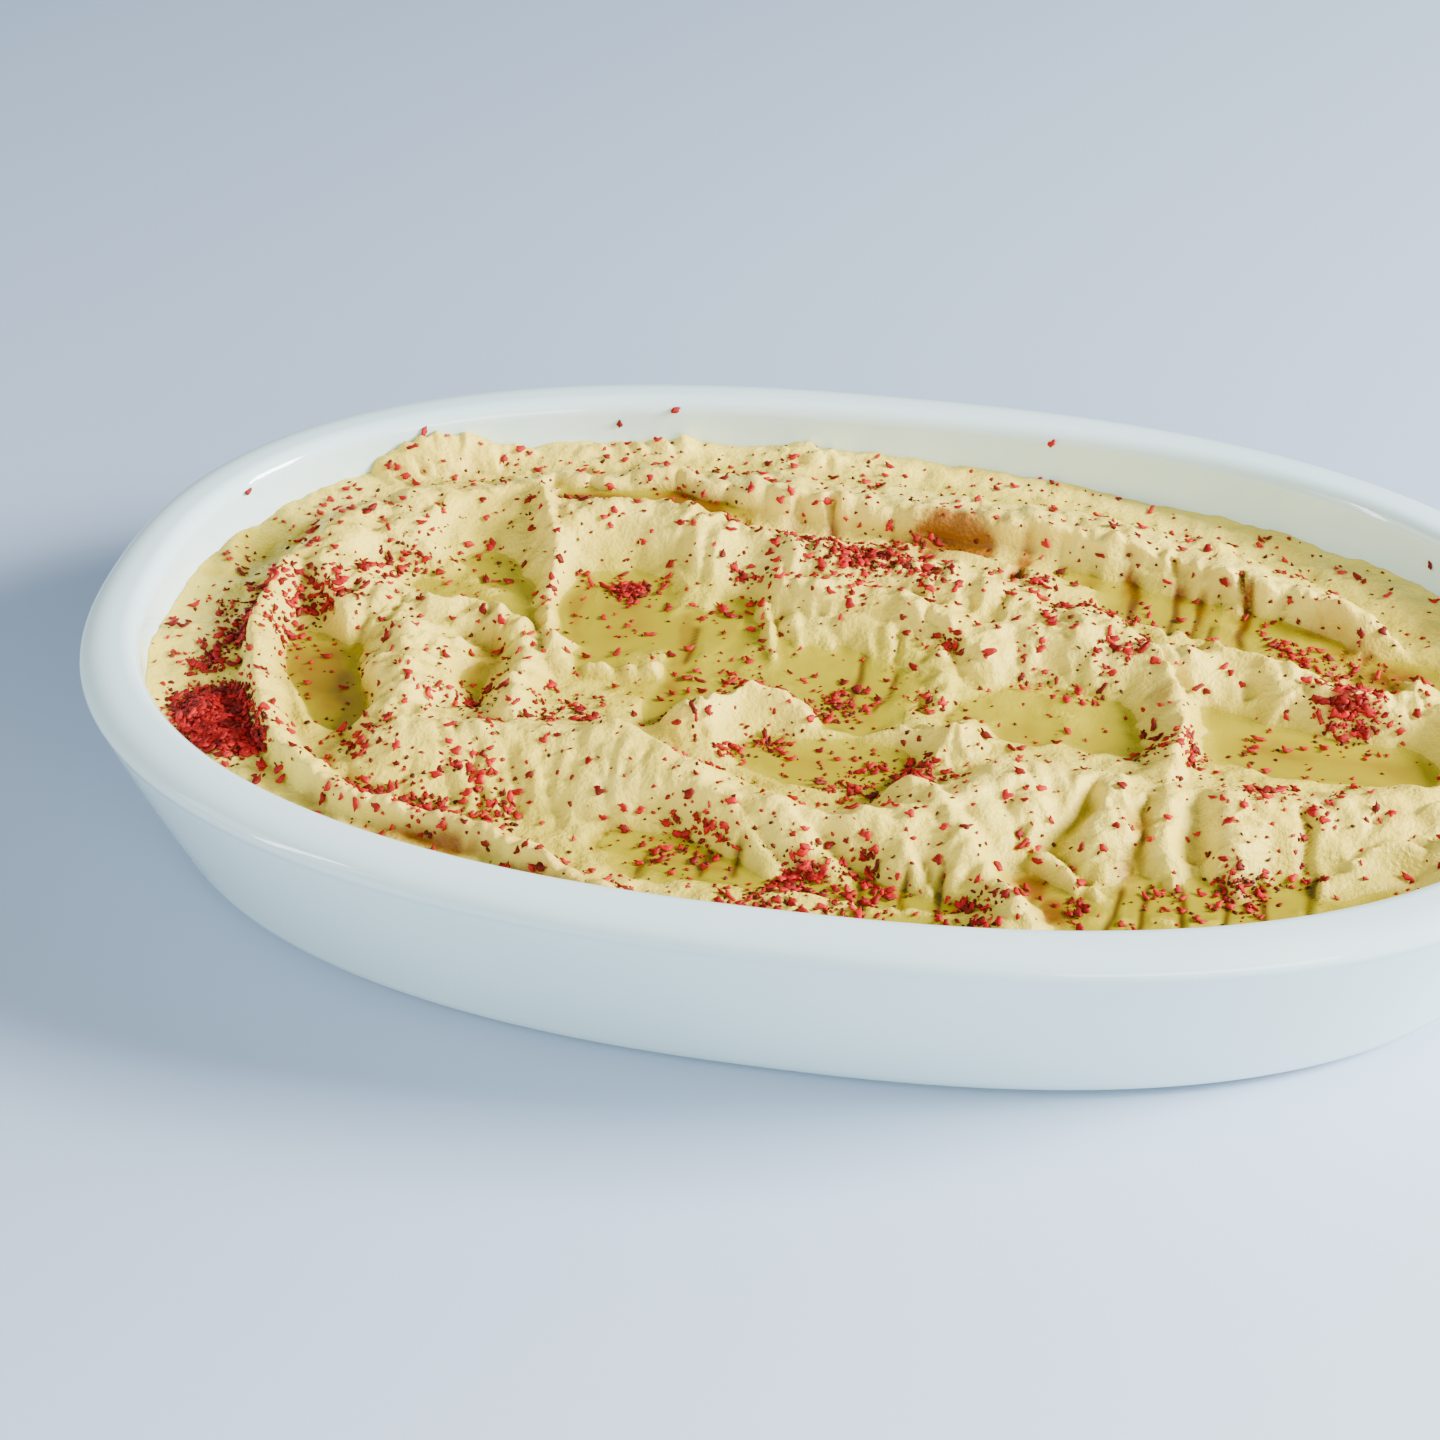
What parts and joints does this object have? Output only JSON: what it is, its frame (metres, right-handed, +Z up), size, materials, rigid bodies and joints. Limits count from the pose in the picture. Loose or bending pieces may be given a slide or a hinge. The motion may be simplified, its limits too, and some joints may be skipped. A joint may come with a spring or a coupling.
{
  "type": "hummus in an oval serving dish",
  "caption": "Swirled chickpea dip with oil pools and red pepper flakes, filling an oval white glazed dish.",
  "frame": {"origin": "centre of the dish's flat foot, on the surface it stands on", "axes": "+X along the dish's long side, +Y across it towards the back, +Z up"},
  "size_m": [0.22, 0.143, 0.0322],
  "materials": {
    "dish": "glossy white glaze",
    "hummus": "moist cream paste with oil in its hollows"
  },
  "bodies": {
    "root": {"dish": "dish", "hummus": "hummus"}
  },
  "joints": []
}
